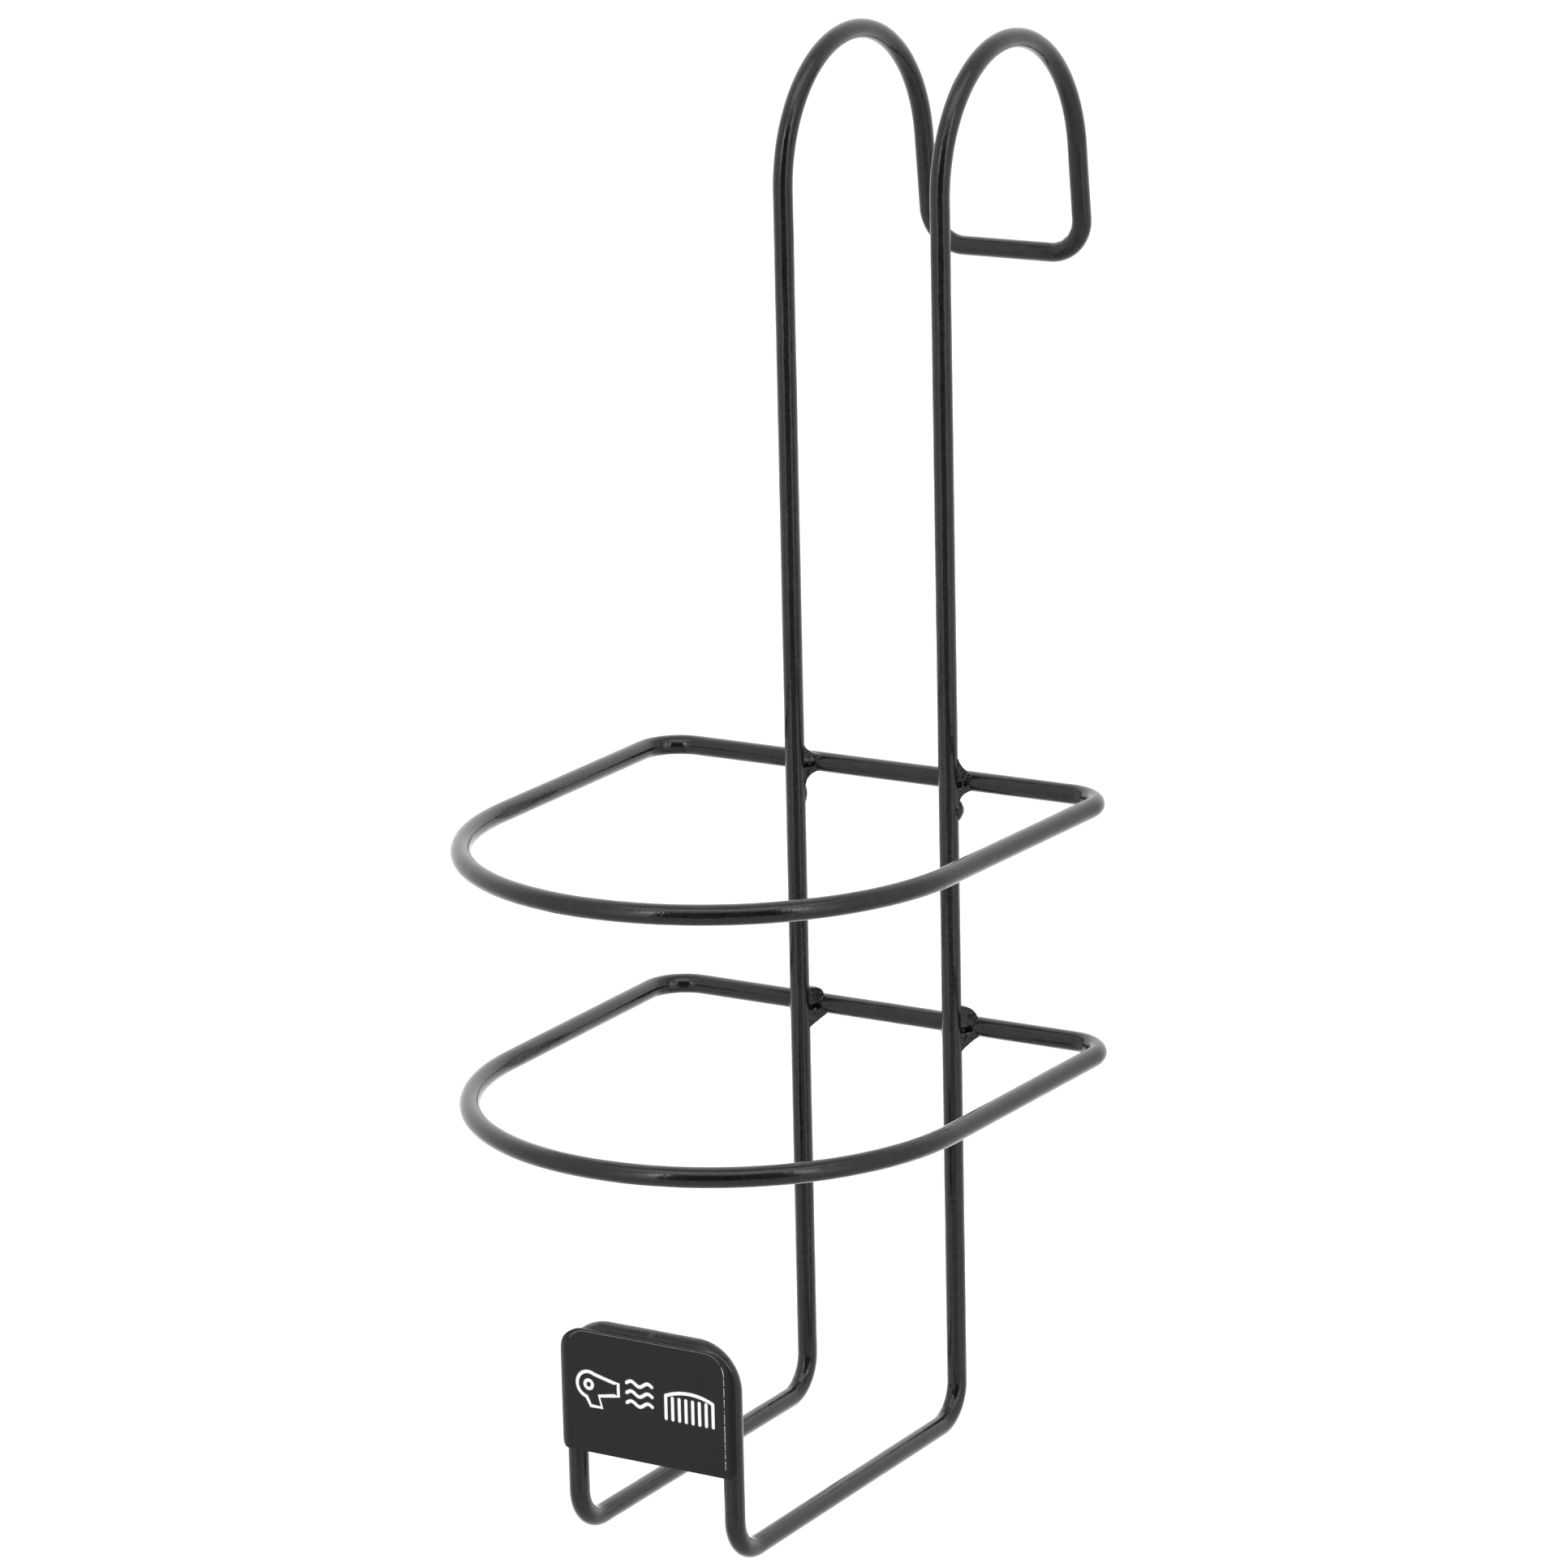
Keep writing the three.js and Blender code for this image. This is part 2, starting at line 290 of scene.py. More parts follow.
def closed_sweep(samples):
    """A coated wire's tube round a closed loop of samples, whose last point repeats the first.

    Its wire_place attribute gives each vertex its place round the wire and its distance along it.
    """
    loop = samples[:-1]
    count = len(loop)
    points = [s[0] for s in loop]
    tangents = [(points[(i + 1) % count] - points[i - 1]).normalized() for i in range(count)]
    axes = carried_axes(tangents)
    vertices, wire_places = [], []
    run = 0.0
    for i, (point, inward, progress) in enumerate(loop):
        run += (point - points[i - 1]).length if i else 0.0
        across, up = axes[i]
        for k in range(WIRE_SIDES):
            angle = 2 * math.pi * k / WIRE_SIDES
            outward = across * math.cos(angle) + up * math.sin(angle)
            vertices.append(point + outward * coat_radius(point, inward, progress, outward))
            wire_places += (WIRE_RADIUS * math.cos(angle), WIRE_RADIUS * math.sin(angle), run)
    mesh = outward_facing(mesh_from(vertices, tube_faces(count, WIRE_SIDES)))
    mesh.attributes.new("wire_place", "FLOAT_VECTOR", "POINT").data.foreach_set("vector", wire_places)
    return mesh


def outward_facing(mesh):
    """The same mesh with every closed shape's faces turned outwards."""
    bm = bmesh.new()
    bm.from_mesh(mesh)
    bmesh.ops.recalc_face_normals(bm, faces=bm.faces)
    bm.to_mesh(mesh)
    bm.free()
    return mesh


# ---------------------------------------------------------------- materials


def nodes_of(name):
    """A new material with its node tree and its shader."""
    material = bpy.data.materials.new(name)
    material.use_nodes = True
    tree = material.node_tree
    shader = tree.nodes["Principled BSDF"]
    return material, tree, shader


def noise_node(tree, coordinates, scale, detail=3.0, roughness=0.5):
    """Noise from 0 to 1, with so many waves to the metre."""
    node = tree.nodes.new("ShaderNodeTexNoise")
    node.inputs["Scale"].default_value = scale
    node.inputs["Detail"].default_value = detail
    node.inputs["Roughness"].default_value = roughness
    tree.links.new(coordinates, node.inputs["Vector"])
    return node.outputs["Fac"]


def ramp_node(tree, value, low, high, colours):
    """A blend from one colour to another as the value goes from low to high."""
    node = tree.nodes.new("ShaderNodeValToRGB")
    node.color_ramp.elements[0].position = low
    node.color_ramp.elements[1].position = high
    node.color_ramp.elements[0].color = (*colours[0], 1)
    node.color_ramp.elements[1].color = (*colours[1], 1)
    tree.links.new(value, node.inputs["Fac"])
    return node.outputs["Color"]


def map_node(tree, value, low, high, to_low, to_high):
    """The value moved from the range low to high into the range to_low to to_high, and held there."""
    node = tree.nodes.new("ShaderNodeMapRange")
    node.inputs["From Min"].default_value = low
    node.inputs["From Max"].default_value = high
    node.inputs["To Min"].default_value = to_low
    node.inputs["To Max"].default_value = to_high
    tree.links.new(value, node.inputs["Value"])
    return node.outputs["Result"]


def bump_node(tree, height, distance, under=None):
    """A bumped normal, distance high at a height of 1, laid over another one if there is one under it."""
    node = tree.nodes.new("ShaderNodeBump")
    node.inputs["Strength"].default_value = 1.0
    node.inputs["Distance"].default_value = distance
    tree.links.new(height, node.inputs["Height"])
    if under is not None:
        tree.links.new(under, node.inputs["Normal"])
    return node.outputs["Normal"]


def grey(level, blue=0.0002):
    """A grey whose blue is a little higher, or lower, than the rest."""
    return level, level, level + blue


def coating_material(name, dark, light, gloss, peel, grain, ior=1.5):
    """Black dipped coating: faint tone clouds, gloss that varies, orange peel and a fine grain."""
    material, tree, shader = nodes_of(name)
    coordinates = tree.nodes.new("ShaderNodeTexCoord").outputs["Object"]
    tone = noise_node(tree, coordinates, 140.0, 4.0)
    tree.links.new(ramp_node(tree, tone, 0.3, 0.75, (dark, light)), shader.inputs["Base Color"])
    smear = noise_node(tree, coordinates, 90.0, 5.0, 0.6)
    tree.links.new(map_node(tree, smear, 0.25, 0.8, *gloss), shader.inputs["Roughness"])
    shader.inputs["IOR"].default_value = ior
    waves = bump_node(tree, noise_node(tree, coordinates, 330.0, 2.0), peel)
    specks = noise_node(tree, coordinates, 2600.0, 2.0)
    tree.links.new(bump_node(tree, specks, grain, waves), shader.inputs["Normal"])
    return material


def ink_and_painted_highlight_material(name, low, high):
    """Printed ink, and the painted highlights on the plate: near-even tone, a little thin in places, matt.
    """
    material, tree, shader = nodes_of(name)
    coordinates = tree.nodes.new("ShaderNodeTexCoord").outputs["Object"]
    cover = noise_node(tree, coordinates, 900.0, 4.0, 0.6)
    tree.links.new(ramp_node(tree, cover, 0.25, 0.6, (low, high)), shader.inputs["Base Color"])
    tree.links.new(map_node(tree, cover, 0.2, 0.8, 0.5, 0.36), shader.inputs["Roughness"])
    tree.links.new(bump_node(tree, cover, 0.006 * MM), shader.inputs["Normal"])
    return material


# Streaks along the wire are longer than they are wide by one over this.
STREAK_SQUEEZE = 0.13


def wire_material(name, dark, light, gloss):
    """Glossy coat on drawn wire: waves and streaks that run along it, then orange peel and specks."""
    material, tree, shader = nodes_of(name)
    place = tree.nodes.new("ShaderNodeAttribute")
    place.attribute_name = "wire_place"
    stretched = tree.nodes.new("ShaderNodeVectorMath")
    stretched.operation = "MULTIPLY"
    stretched.inputs[1].default_value = (1, 1, STREAK_SQUEEZE)
    tree.links.new(place.outputs["Vector"], stretched.inputs[0])
    along = stretched.outputs["Vector"]
    coordinates = tree.nodes.new("ShaderNodeTexCoord").outputs["Object"]

    tone = noise_node(tree, coordinates, 900.0, 4.0, 0.6)
    tree.links.new(ramp_node(tree, tone, 0.38, 0.72, (dark, light)), shader.inputs["Base Color"])
    smear = noise_node(tree, along, 420.0, 4.0, 0.6)
    tree.links.new(map_node(tree, smear, 0.3, 0.75, *gloss), shader.inputs["Roughness"])
    shader.inputs["IOR"].default_value = 1.5
    waves = bump_node(tree, noise_node(tree, along, 300.0, 2.0), 0.13 * MM)
    streaks = bump_node(tree, noise_node(tree, along, 1100.0, 2.0), 0.032 * MM, waves)
    peel = bump_node(tree, noise_node(tree, coordinates, 520.0, 2.0), 0.028 * MM, streaks)
    specks = noise_node(tree, coordinates, 1150.0, 2.0, 0.6)
    tree.links.new(bump_node(tree, specks, 0.04 * MM, peel), shader.inputs["Normal"])
    return material


WIRE_COAT = wire_material("wire_coat", grey(0.002), grey(0.011), (0.10, 0.21))
WELD_COAT = coating_material("weld_coat", grey(0.003), grey(0.007), (0.08, 0.20), 0.22 * MM, 0.01 * MM)
PLATE_COAT = coating_material(
    "plate_coat", grey(0.0025), grey(0.0045), (0.34, 0.42), 0.03 * MM, 0.004 * MM, 1.4)
WHITE_INK = ink_and_painted_highlight_material("white_ink", grey(0.78, -0.01), grey(0.9, -0.01))
BLACK_INK = ink_and_painted_highlight_material("black_ink", grey(0.004, 0), grey(0.007, 0))
# Painted highlights: two pale inks for the thin bright lines on the plate's top edge and right-hand crease,
# standing in for light caught there.
PAINTED_EDGE_HIGHLIGHT = ink_and_painted_highlight_material("painted_edge_highlight", grey(0.05, 0), grey(0.16, 0))
PAINTED_CREASE_HIGHLIGHT = ink_and_painted_highlight_material("painted_crease_highlight", grey(0.2, 0), grey(0.6, 0))


# ---------------------------------------------------------------- wires


def make_wires():
    """The frame's wire, which is one closed loop, and the two rings."""
    frame_mesh = closed_sweep(frame_path().samples)
    piece("frame_wire", frame_mesh, WIRE_COAT, "coated_wire", "side_wire_left", "side_wire_right")
    for node, z in (("upper_ring", UPPER_RING_Z), ("lower_ring", LOWER_RING_Z)):
        piece(f"{node}_wire", closed_sweep(ring_path(z).samples), WIRE_COAT, "coated_wire", node)


# ---------------------------------------------------------------- welds

# The wires' cores inside a weld are slimmer than the wires, so they never show.
WELD_CORE_RADIUS = COAT_RADIUS - 0.05 * MM
WEB_THICKNESS = 2.4 * MM
WEB_END_HEIGHT = 2.0 * MM
PIT_HALF_HEIGHT = 0.8 * MM
PIT_LUMP_COUNT = 10
SPATTER_COUNT = 16


def applied(mesh, *settings):
    """The mesh after some modifiers, each given as (type, {property: value})."""
    carrier = bpy.data.objects.new("carrier", mesh)
    bpy.context.scene.collection.objects.link(carrier)
    for kind, values in settings:
        modifier = carrier.modifiers.new(kind, kind)
        for key, value in values.items():
            setattr(modifier, key, value)
    graph = bpy.context.evaluated_depsgraph_get()
    result = bpy.data.meshes.new_from_object(carrier.evaluated_get(graph))
    bpy.data.objects.remove(carrier)
    return result


def add_lump(bm, centre, radii):
    """Adds one closed ellipsoid to a weld's raw shape."""
    place = Matrix.Translation(centre) @ Matrix.Diagonal((*radii, 1))
    bmesh.ops.create_icosphere(bm, subdivisions=2, radius=1, matrix=place)


def add_rod(bm, start, end, radius):
    """Adds one closed rod between two points to a weld's raw shape."""
    start, end = Vector(start), Vector(end)
    turn = Vector((0, 0, 1)).rotation_difference(end - start).to_matrix().to_4x4()
    place = Matrix.Translation((start + end) / 2) @ turn
    depth = (end - start).length
    bmesh.ops.create_cone(
        bm, cap_ends=True, segments=24, radius1=radius, radius2=radius, depth=depth, matrix=place)


def web_edge(s, near_z, far_z, bulge):
    """Height of a web's free edge at s, from 0 at the upright to 1 at the bar. More bulge is fuller."""
    t = 0.0
    while 2 * t * (1 - t) * bulge + t * t < s - 1e-9:
        t += 0.01
    t = min(t, 1.0)
    bend_z = far_z + (near_z - far_z) * bulge
    return (1 - t) ** 2 * near_z + 2 * t * (1 - t) * bend_z + t * t * far_z


def add_web(bm, near, far, inner_z, near_z, far_z, bulge, thickness):
    """Adds a slab from the upright to the ring's bar, its free edge running from near_z to far_z."""
    near, far = Vector((*near, 0)), Vector((*far, 0))
    along = (far - near).normalized()
    across = Vector((along.y, -along.x, 0)) * thickness / 2
    outline = [(0, inner_z)]
    for i in range(13):
        s = i / 12
        outline.append((s, web_edge(s, near_z, far_z, bulge)))
    outline.append((1, inner_z))
    rows = []
    for offset in (-across, across):
        rows.append([bm.verts.new(near.lerp(far, s) + offset + Vector((0, 0, z))) for s, z in outline])
    count = len(outline)
    bm.faces.new(rows[0])
    bm.faces.new(reversed(rows[1]))
    for i in range(count):
        j = (i + 1) % count
        bm.faces.new((rows[0][j], rows[0][i], rows[1][i], rows[1][j]))


def add_spatter(bm, draw, near, far, near_z, far_z, bulge, thickness):
    """Adds small lumps to the front face of a web, every other one in a row beside the pit."""
    near, far = Vector((*near, 0)), Vector((*far, 0))
    along = (far - near).normalized()
    forward = Vector((along.y, -along.x, 0))
    if forward.y > 0:
        forward.negate()
    up = 1 if near_z > 0 else -1
    for i in range(SPATTER_COUNT):
        s = draw.uniform(0.02, 0.8)
        edge = abs(web_edge(s, near_z, far_z, bulge))
        height = 1.0 * MM if i % 2 else draw.uniform(0.9 * MM, max(1.0 * MM, edge - 0.7 * MM))
        radius = draw.uniform(0.25, 0.55) * MM
        spot = near.lerp(far, s) + forward * (thickness / 2 - radius * 0.45)
        spot.z = up * height
        add_lump(bm, spot, (radius, radius, radius * draw.uniform(0.8, 1.5)))


def add_drip(bm, x, y, top, bottom, bulge):
    """Adds a run of coating down the upright's side, fattest in its middle."""
    length = top - bottom
    for i in range(9):
        t = i / 8
        girth = bulge * (0.35 + 0.65 * math.sin(math.pi * min(1.0, 0.1 + 0.8 * t)))
        add_lump(bm, (x, y, top - length * t * 0.8), (girth, girth * 1.2, length * 0.2))


def add_webs(bm, draw, above, below):
    """Adds the webs above and below the bar, on both sides of the upright, with their spatter."""
    for side in (1, -1):
        near = (side * 1.6 * MM, UPRIGHT_Y + 1.0 * MM)
        for up, (reach, tip, bulge) in ((1, above), (-1, below)):
            far = (side * reach, RING_REAR_Y - 0.3 * MM)
            far_z = up * WEB_END_HEIGHT
            add_web(bm, near, far, up * PIT_HALF_HEIGHT, tip, far_z, bulge, WEB_THICKNESS)
            add_spatter(bm, draw, near, far, tip, far_z, bulge, WEB_THICKNESS)


def add_pit_lumps(bm, draw, middle_y):
    """Adds the small lumps inside the pit, on the right-hand side."""
    for _ in range(PIT_LUMP_COUNT):
        radius = draw.uniform(0.25, 0.45) * MM
        x = draw.uniform(1.6, 3.0) * MM
        y = middle_y - draw.uniform(0.2, 0.9) * MM
        z = draw.uniform(-0.9, 0.9) * MM
        add_lump(bm, (x, y, z), (radius, radius, radius))


def weld_mesh(x, z, spec, seed):
    """A fused crossing: webs on both sides of the upright, a pit with spatter between them, and a drip."""
    draw = random.Random(seed)
    bm = bmesh.new()
    above, below, (drip_end, drip_bulge) = spec
    above_tip, below_tip = above[1], below[1]
    middle_y = (UPRIGHT_Y + RING_REAR_Y) / 2
    add_rod(bm, (0, UPRIGHT_Y, below_tip - 2 * MM), (0, UPRIGHT_Y, above_tip + 2 * MM), WELD_CORE_RADIUS)
    add_rod(bm, (-7 * MM, RING_REAR_Y, 0), (7 * MM, RING_REAR_Y, 0), WELD_CORE_RADIUS)
    add_lump(bm, (0, middle_y, 0), (2.0 * MM, 1.6 * MM, 2.6 * MM))
    add_webs(bm, draw, above, below)
    add_pit_lumps(bm, draw, middle_y)
    add_drip(bm, 1.9 * MM, UPRIGHT_Y + 1.0 * MM, below_tip + 1 * MM, drip_end, drip_bulge)
    bmesh.ops.translate(bm, verts=bm.verts, vec=(x, 0, z))
    mesh = bpy.data.meshes.new("weld")
    bmesh.ops.recalc_face_normals(bm, faces=bm.faces)
    bm.to_mesh(mesh)
    bm.free()
    return applied(
        mesh,
        ("REMESH", {"mode": "VOXEL", "voxel_size": 0.2 * MM, "use_smooth_shade": True}),
        ("SMOOTH", {"factor": 0.5, "iterations": 3}))


# Per crossing: x, z, then the weld's (reach along the bar, tip height, bulge) above and below the bar
# with its drip's (end, girth), and the seed of its lumps.
WELDS = {
    "weld_upper_ring_left": (-RAIL_X, UPPER_RING_Z, (
        (4.7 * MM, 5.3 * MM, 0.25), (3.9 * MM, -6.3 * MM, 0.02), (-10.1 * MM, 0.76 * MM)), 3),
    "weld_upper_ring_right": (RAIL_X, UPPER_RING_Z, (
        (3.5 * MM, 6.6 * MM, 0.3), (3.8 * MM, -5.6 * MM, 0.02), (-9.2 * MM, 1.65 * MM)), 8),
    "weld_lower_ring_left": (-RAIL_X, LOWER_RING_Z, (
        (3.5 * MM, 5.0 * MM, 1.0), (4.8 * MM, -5.4 * MM, 0.48), (-5.6 * MM, 0.4 * MM)), 21),
    "weld_lower_ring_right": (RAIL_X, LOWER_RING_Z, (
        (4.2 * MM, 6.2 * MM, 0.85), (4.8 * MM, -5.5 * MM, 0.42), (-5.7 * MM, 0.4 * MM)), 34),
}


def make_ring_welds():
    """The four fused crossings of uprights and rings."""
    for node, (x, z, spec, seed) in WELDS.items():
        piece(f"{node}_bead", weld_mesh(x, z, spec, seed), WELD_COAT, "coated_weld", node)


def tack_mesh(node, seed):
    """A short weld bead between the plate and the lip: overlapping droplets, fused."""
    draw = random.Random(seed)
    low, high = (Vector(corner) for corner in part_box(node))
    centre, half = (low + high) / 2, (high - low) / 2
    bm = bmesh.new()
    count = 6
    for i in range(count):
        z = low.z + half.z * (0.32 + 1.36 * i / (count - 1))
        girth = 0.95 - 0.25 * abs(2 * i / (count - 1) - 1) + draw.uniform(-0.04, 0.04)
        add_lump(bm, (centre.x, centre.y, z), (half.x * girth, half.y * girth, half.z * 0.31))
    mesh = bpy.data.meshes.new("tack")
    bm.to_mesh(mesh)
    bm.free()
    return applied(
        mesh,
        ("REMESH", {"mode": "VOXEL", "voxel_size": 0.15 * MM, "use_smooth_shade": True}),
        ("SMOOTH", {"factor": 0.5, "iterations": 2}))


def make_tack_welds():
    """The four small beads between the plate and the lip."""
    seed = 50
    for level in ("top", "bottom"):
        for hand in ("left", "right"):
            node = f"tack_weld_{level}_{hand}"
            piece(f"{node}_bead", tack_mesh(node, seed), WELD_COAT, "coated_weld", node)
            seed += 1


# ---------------------------------------------------------------- plate

PLATE_OUTER_RADIUS = LIP_Y - PLATE_FRONT_Y
PLATE_HALF_WIDTH = PLATE_HIGH[0]


def plate_columns():
    """The plate's x stations, close together round its corners and its curled sides."""
    stations = {0.0, RAIL_X}
    half = PLATE_HALF_WIDTH
    for i in range(1, 15):
        stations.add(i * (half - PLATE_TOP_RADIUS) / 15)
    for radius in (PLATE_TOP_RADIUS, PLATE_BOTTOM_RADIUS):
        for i in range(17):
            stations.add(half - radius + radius * math.sin(math.pi / 2 * i / 16))
    for i in range(1, 10):
        stations.add(RAIL_X + (half - RAIL_X) * i / 10)
    kept = []
    for x in sorted(stations):
        if not kept or x - kept[-1] > 0.02 * MM:
            kept.append(x)
    kept[-1] = half
    return [-x for x in reversed(kept[1:])] + kept


def plate_span(x):
    """The plate's lowest and highest z at one x."""
    beyond_top = max(0.0, abs(x) - (PLATE_HALF_WIDTH - PLATE_TOP_RADIUS))
    beyond_bottom = max(0.0, abs(x) - (PLATE_HALF_WIDTH - PLATE_BOTTOM_RADIUS))
    drop = PLATE_TOP_RADIUS - math.sqrt(max(0.0, PLATE_TOP_RADIUS**2 - beyond_top**2))
    rise = PLATE_BOTTOM_RADIUS - math.sqrt(max(0.0, PLATE_BOTTOM_RADIUS**2 - beyond_bottom**2))
    return PLATE_LOW[2] + rise, PLATE_HIGH[2] - drop


def plate_point(x, z, depth):
    """A point of the sheet, depth below its front: flat between the wires, then curled round them."""
    beyond = abs(x) - RAIL_X
    if beyond <= 0:
        return Vector((x, PLATE_FRONT_Y + depth, z))
    angle = math.asin(min(1.0, beyond / PLATE_OUTER_RADIUS))
    radius = PLATE_OUTER_RADIUS - depth
    curled_x = RAIL_X + radius * math.sin(angle)
    return Vector((math.copysign(curled_x, x), LIP_Y - radius * math.cos(angle), z))


def plate_faces(column_count, rows):
    """Faces of the sheet's front grid and back grid, and of the edge that joins them."""
    faces = []
    stride = rows + 1
    back = column_count * stride
    for i in range(column_count - 1):
        for j in range(rows):
            a, b = i * stride + j, (i + 1) * stride + j
            faces.append((a, b, b + 1, a + 1))
            faces.append((back + a, back + a + 1, back + b + 1, back + b))
        bottom_a, bottom_b = i * stride, (i + 1) * stride
        top_a, top_b = bottom_a + rows, bottom_b + rows
        faces.append((bottom_a, back + bottom_a, back + bottom_b, bottom_b))
        faces.append((top_a, top_b, back + top_b, back + top_a))
    for j in range(rows):
        first, last = j, (column_count - 1) * stride + j
        faces.append((first, first + 1, back + first + 1, back + first))
        faces.append((last, back + last, back + last + 1, last + 1))
    return faces


def plate_mesh():
    """The closed sheet with its edges bevelled."""
    columns = plate_columns()
    rows = 16
    vertices = []
    for depth in (0.0, PLATE_THICKNESS):
        for x in columns:
            low, high = plate_span(x)
            for j in range(rows + 1):
                vertices.append(plate_point(x, low + (high - low) * j / rows, depth))
    mesh = outward_facing(mesh_from(vertices, plate_faces(len(columns), rows)))
    bevel = {"width": 0.24 * MM, "segments": 3, "limit_method": "ANGLE", "angle_limit": math.radians(50)}
    return applied(mesh, ("BEVEL", bevel))


def make_plate():
    """The thin plate round the lip."""
    piece("badge_plate_sheet", plate_mesh(), PLATE_COAT, "coated_plate", "badge_plate")


# ---------------------------------------------------------------- print on the plate

INK_HALF_WIDTH = 0.45 * MM
INK_BORDER = 0.27 * MM
# Height of the print's middle line, as a share of the plate's height down from its top.
PRINT_DROP = 0.475
# Across and out from the plate, as shares of a stroke's half width and height: a flat top, soft edges.
STROKE_SECTION = (
    (1, 0.0), (0.93, 0.7), (0.7, 1.0), (-0.7, 1.0), (-0.93, 0.7), (-1, 0.0), (-1, -1.0), (1, -1.0))
CAP_STEPS = 5


def arc_points(centre, radius, start, end, count=14):
    """Points of a circular arc in the plate's own (across, up) millimetres, angles in degrees."""
    points = []
    for i in range(count + 1):
        angle = math.radians(start + (end - start) * i / count)
        points.append((centre[0] + radius * math.cos(angle), centre[1] + radius * math.sin(angle)))
    return points


def wave_points(start, length, height, turns, count=28):
    """Points of a sine wave that runs across from its start."""
    points = []
    for i in range(count + 1):
        rise = height * math.sin(2 * math.pi * turns * i / count)
        points.append((start[0] + length * i / count, start[1] + rise))
    return points


def dryer_strokes(x, y):
    """A hairdryer in outline, 12 mm wide: round body, nozzle, handle and a ring for its intake."""
    centre = (x + 3.5, y + 1.0)
    body = arc_points(centre, 3.2, 60, 258, 22)
    nozzle = [
        body[0], (x + 10.6, y + 2.5), (x + 11.8, y + 2.5), (x + 11.8, y - 0.7), (x + 10.6, y - 0.7)]
    under = [nozzle[-1], (x + 6.3, y - 1.5), (x + 7.1, y - 4.3), (x + 4.0, y - 4.3), body[-1]]
    intake = [arc_points(centre, 1.05, start, start + 180, 8) for start in (0, 180)]
    return [body, nozzle, under, *intake]


def air_strokes(x, y):
    """Three waves of moving air, 7 mm long, from the top down."""
    return [wave_points((x, y + 0.8 + 2.5 * k), 7.0, 0.55, 1.5) for k in (1, 0, -1)]


def comb_strokes(x, y):
    """A comb seen flat, 13 mm long: a curved spine, six short teeth and a longer one at each end."""
    spine = arc_points((x + 6.5, y - 12.6), 15.9, 114, 66, 12)
    teeth = []
    for i in range(1, 7):
        tooth_x = x + 13 * i / 7
        teeth.append([(tooth_x, y + 1.5), (tooth_x, y - 3.8)])
    ends = [[(x, y + 1.9), (x, y - 3.8)], [(x + 13, y + 1.9), (x + 13, y - 3.8)]]
    return [spine, *teeth, *ends]


def round_cap(end, outward, tangent, half_width):
    """Stations (point, tangent, width share) of a stroke's round end, from its tip inwards."""
    cap = []
    for i in range(CAP_STEPS):
        angle = math.pi / 2 * (i + 0.35) / CAP_STEPS
        cap.append((end + outward * half_width * math.cos(angle), tangent, math.sin(angle)))
    return cap


def capped_faces(count, sides):
    """Faces of count sections joined in a row and closed at both ends."""
    faces = []
    for i in range(count - 1):
        for k in range(sides):
            n = (k + 1) % sides
            faces.append((i * sides + k, i * sides + n, (i + 1) * sides + n, (i + 1) * sides + k))
    faces.append(tuple(range(sides)))
    last = (count - 1) * sides
    faces.append(tuple(last + k for k in reversed(range(sides))))
    return faces


def stroke_ribbon(points, half_width, proud):
    """One flat rounded stroke on the plate's front, as a closed shape."""
    middle_z = PLATE_HIGH[2] - PRINT_DROP * (PLATE_HIGH[2] - PLATE_LOW[2])
    centres = [Vector((px * MM, 0, middle_z + py * MM)) for px, py in points]
    tangents = []
    for i in range(len(centres)):
        tangents.append((centres[min(i + 1, len(centres) - 1)] - centres[max(i - 1, 0)]).normalized())
    stations = round_cap(centres[0], -tangents[0], tangents[0], half_width)
    stations += [(c, t, 1.0) for c, t in zip(centres, tangents)]
    stations += reversed(round_cap(centres[-1], tangents[-1], tangents[-1], half_width))
    vertices = []
    for point, tangent, scale in stations:
        across = Vector((tangent.z, 0, -tangent.x))
        for a, b in STROKE_SECTION:
            vertex = point + across * a * half_width * scale
            vertex.y = PLATE_FRONT_Y - b * proud
            vertices.append(vertex)
    return vertices, capped_faces(len(stations), len(STROKE_SECTION))


def stroke_mesh(strokes, half_width, proud):
    """All strokes as one mesh. Neighbours stand proud by different amounts, so no two faces coincide."""
    vertices, faces = [], []
    for i, stroke in enumerate(strokes):
        new_vertices, new_faces = stroke_ribbon(stroke, half_width, proud * (1 + 0.12 * (i % 3)))
        faces += [tuple(len(vertices) + v for v in face) for face in new_faces]
        vertices += new_vertices
    return outward_facing(mesh_from(vertices, faces))


def make_print():
    """The generic motif: dryer, air and comb in white line, each stroke with a thin black border."""
    strokes = dryer_strokes(-19.4, 0) + air_strokes(-5.2, 0) + comb_strokes(5.6, 0)
    border = stroke_mesh(strokes, INK_HALF_WIDTH + INK_BORDER, 0.03 * MM)
    piece("print_border", border, BLACK_INK, "coated_plate")
    piece("print_lines", stroke_mesh(strokes, INK_HALF_WIDTH, 0.06 * MM), WHITE_INK, "coated_plate")


# ---------------------------------------------------------------- painted highlights on the plate's top edge and crease


def dashes(draw, x, high, low):
    """Short strokes down one crease, from high to low, with small gaps."""
    strokes = []
    z = high
    while z > low + 0.5:
        length = min(draw.uniform(0.3, 2.6), z - low)
        strokes.append([(x, z), (x, z - length / 2), (x, z - length)])
        z -= length + draw.uniform(0.25, 0.75)
    return strokes


